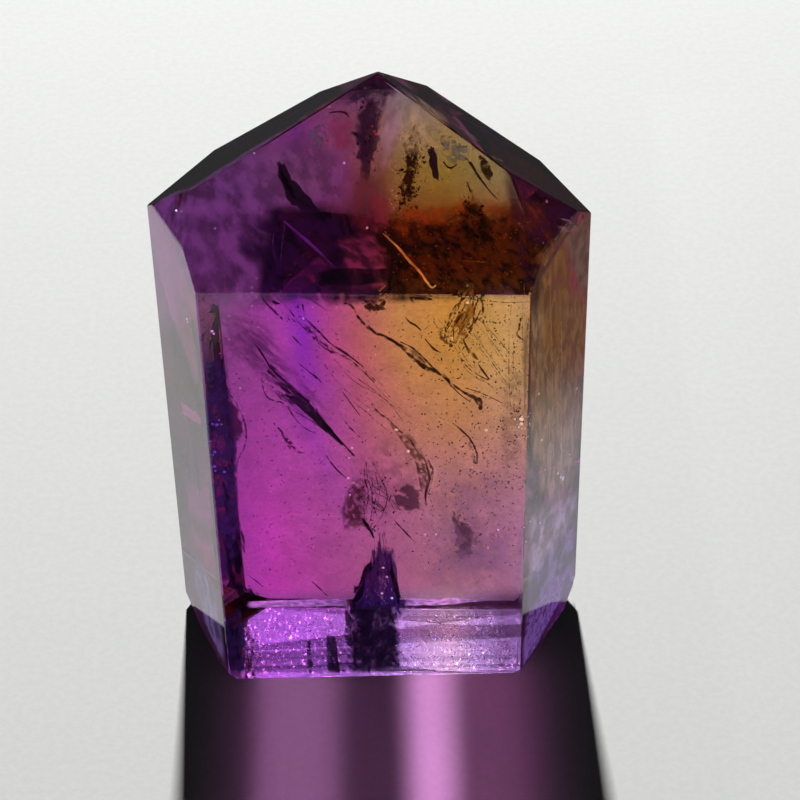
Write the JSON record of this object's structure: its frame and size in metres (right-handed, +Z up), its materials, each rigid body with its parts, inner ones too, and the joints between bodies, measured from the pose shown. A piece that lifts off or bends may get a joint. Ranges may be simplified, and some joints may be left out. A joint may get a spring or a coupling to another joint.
{
  "type": "ametrine crystal point",
  "caption": "Free-standing polished clear crystal point: a flattened six-sided prism with a six-faced tip and a flat foot.",
  "frame": {"origin": "middle of the bounding box, on the plane of the flat foot that the stone stands on", "axes": "+Z up along the prism towards the tip, +X to the right along the stone's width, -Y out of the broad front wall"},
  "size_m": [0.0274, 0.0147, 0.0455],
  "materials": {
    "ametrine": "polished, clear, purple on one side and orange on the other"
  },
  "bodies": {
    "root": {"ametrine_point": "ametrine"}
  },
  "joints": []
}
